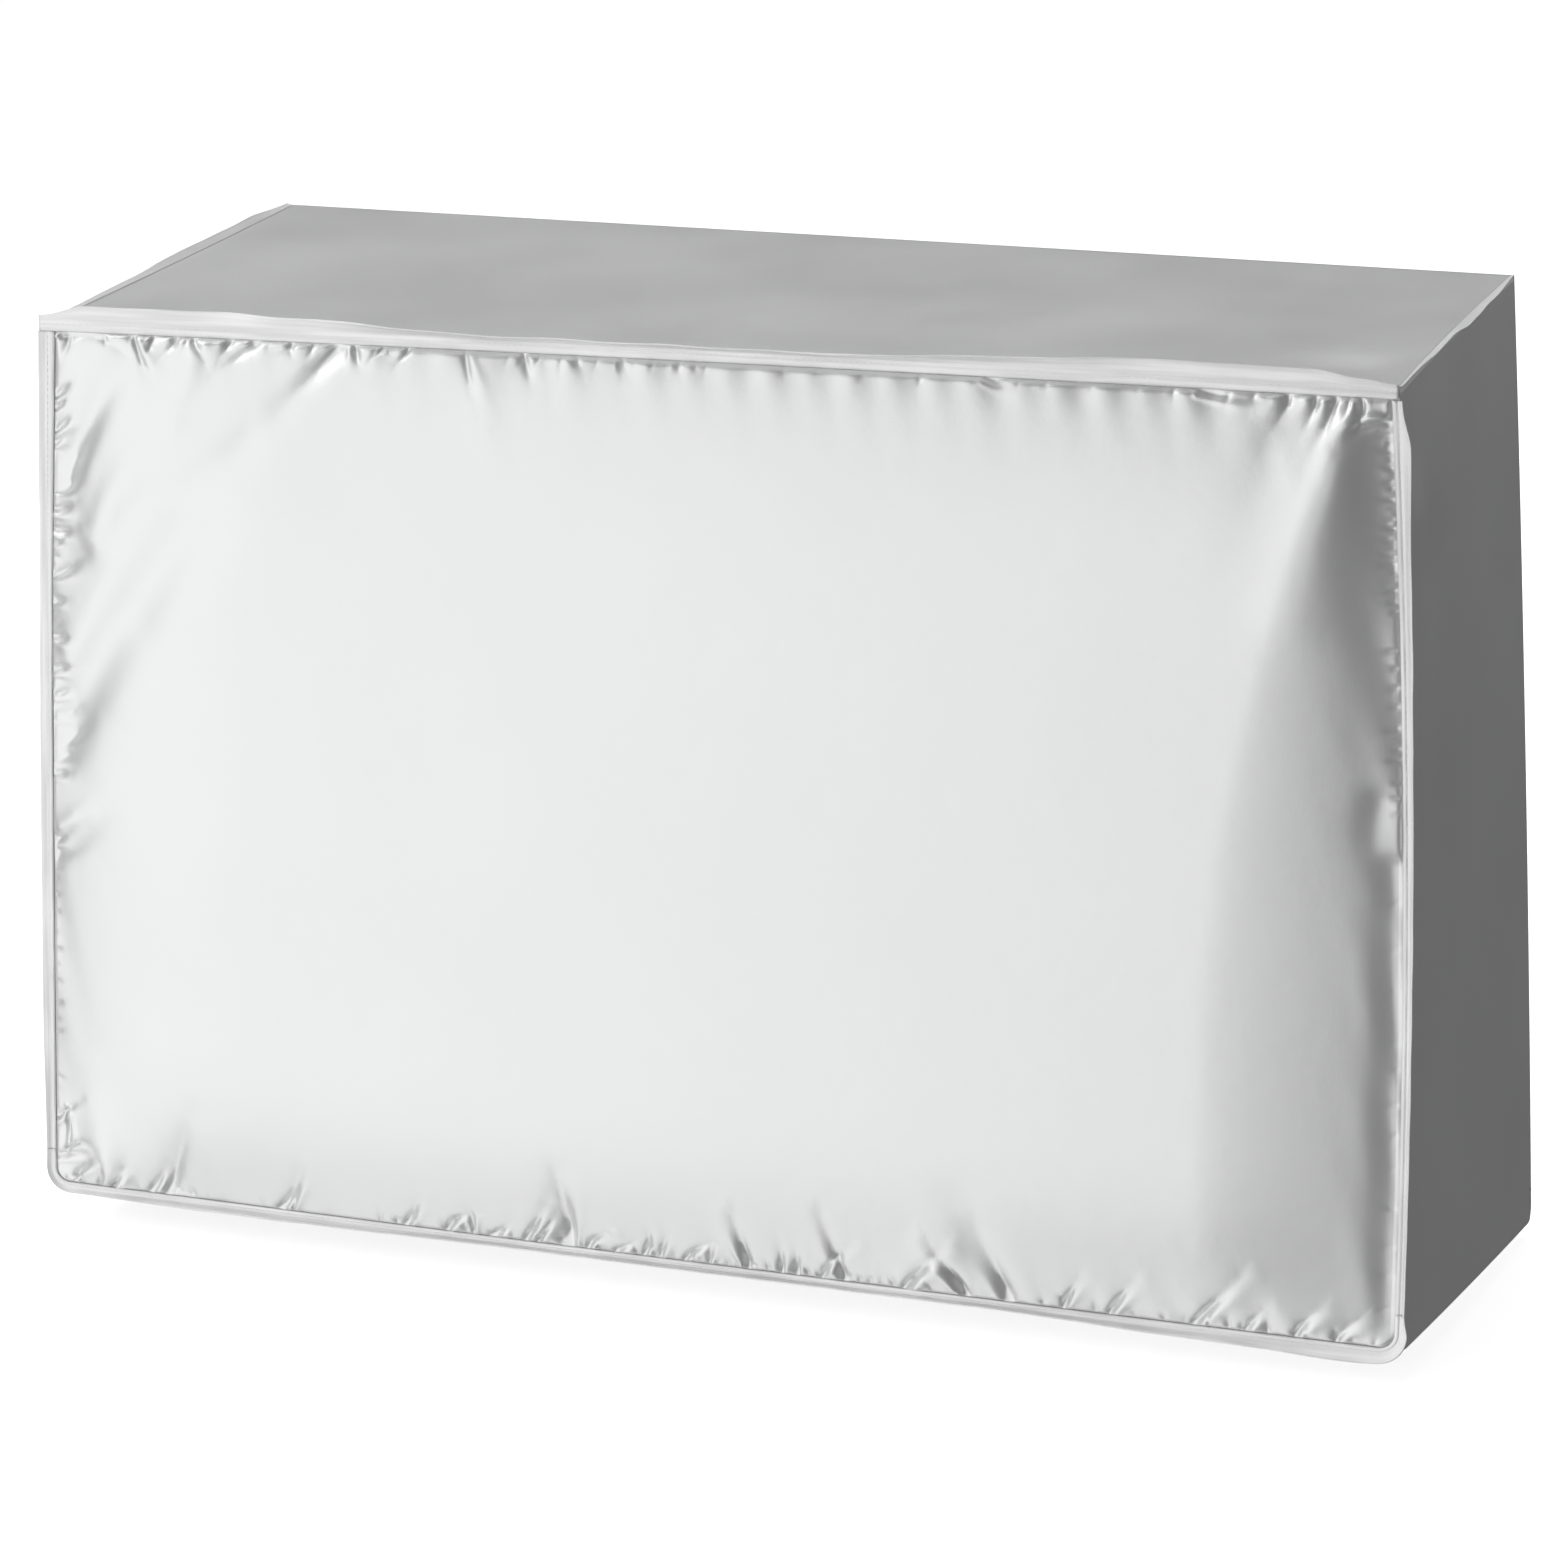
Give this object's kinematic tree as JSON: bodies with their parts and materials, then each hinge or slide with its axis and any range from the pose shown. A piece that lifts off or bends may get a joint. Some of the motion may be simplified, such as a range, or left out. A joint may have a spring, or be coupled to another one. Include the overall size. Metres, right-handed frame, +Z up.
{
  "type": "air conditioner cover",
  "caption": "Fitted rain cover of silver-coated cloth for a boxy outdoor unit: gathered, puffed front framed in flat binding, flat sides and back, flanged top seams, open below",
  "frame": {"origin": "under the middle of the top panel, where the unit inside carries the cover", "axes": "+X is the cover's right as seen from the front, +Y its back, +Z up"},
  "size_m": [0.9082, 0.3537, 0.6058],
  "materials": {
    "silver_cloth": "silver-coated plain weave, satin sheen",
    "binding_tape": "folded strip of the same silver cloth, satin sheen"
  },
  "bodies": {
    "root": {"front_panel": "silver_cloth", "top_panel": "silver_cloth", "right_panel": "silver_cloth", "left_panel": "silver_cloth", "back_panel": "silver_cloth", "binding_top": "binding_tape", "binding_left": "binding_tape", "binding_right": "binding_tape", "binding_bottom": "binding_tape", "flange_right": "binding_tape", "flange_left": "binding_tape"}
  },
  "joints": []
}
